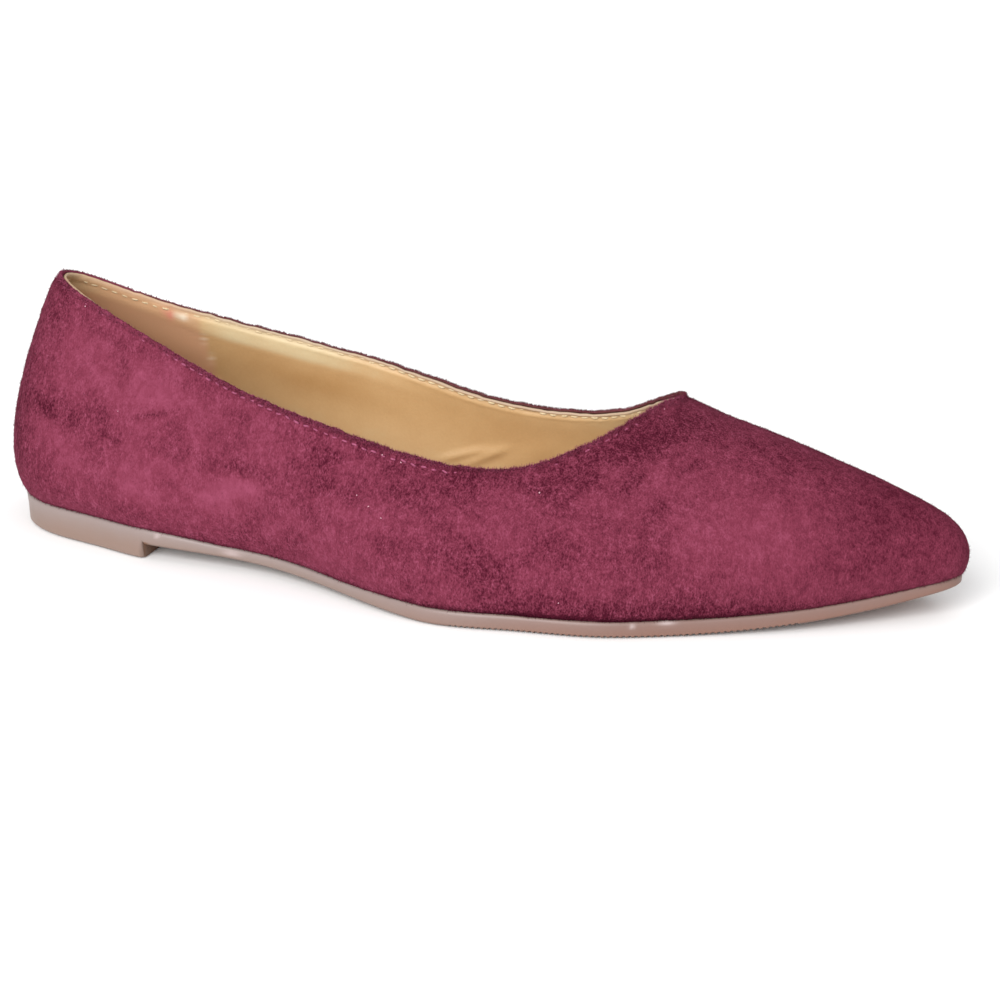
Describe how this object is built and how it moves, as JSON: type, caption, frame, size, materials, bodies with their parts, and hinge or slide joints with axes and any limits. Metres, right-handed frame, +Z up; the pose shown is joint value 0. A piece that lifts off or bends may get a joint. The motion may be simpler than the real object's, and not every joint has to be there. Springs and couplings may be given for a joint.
{
  "type": "ballet flat",
  "caption": "Right-foot ballet flat with a pointed toe: hollow burgundy suede upper open at the collar, tan insole, and a thin rubber sole with a low heel.",
  "frame": {"origin": "on the floor, under the middle of the shoe's box", "axes": "+X from heel to toe, +Y to the foot's inner (medial) side, +Z up"},
  "size_m": [0.253, 0.0844, 0.0654],
  "materials": {
    "rubber": "moulded, satin, brownish grey",
    "suede": "napped, matt, burgundy",
    "lining": "smooth, satin, tan"
  },
  "bodies": {
    "root": {"outsole": "rubber", "upper": "suede", "insole": "lining"}
  },
  "joints": []
}
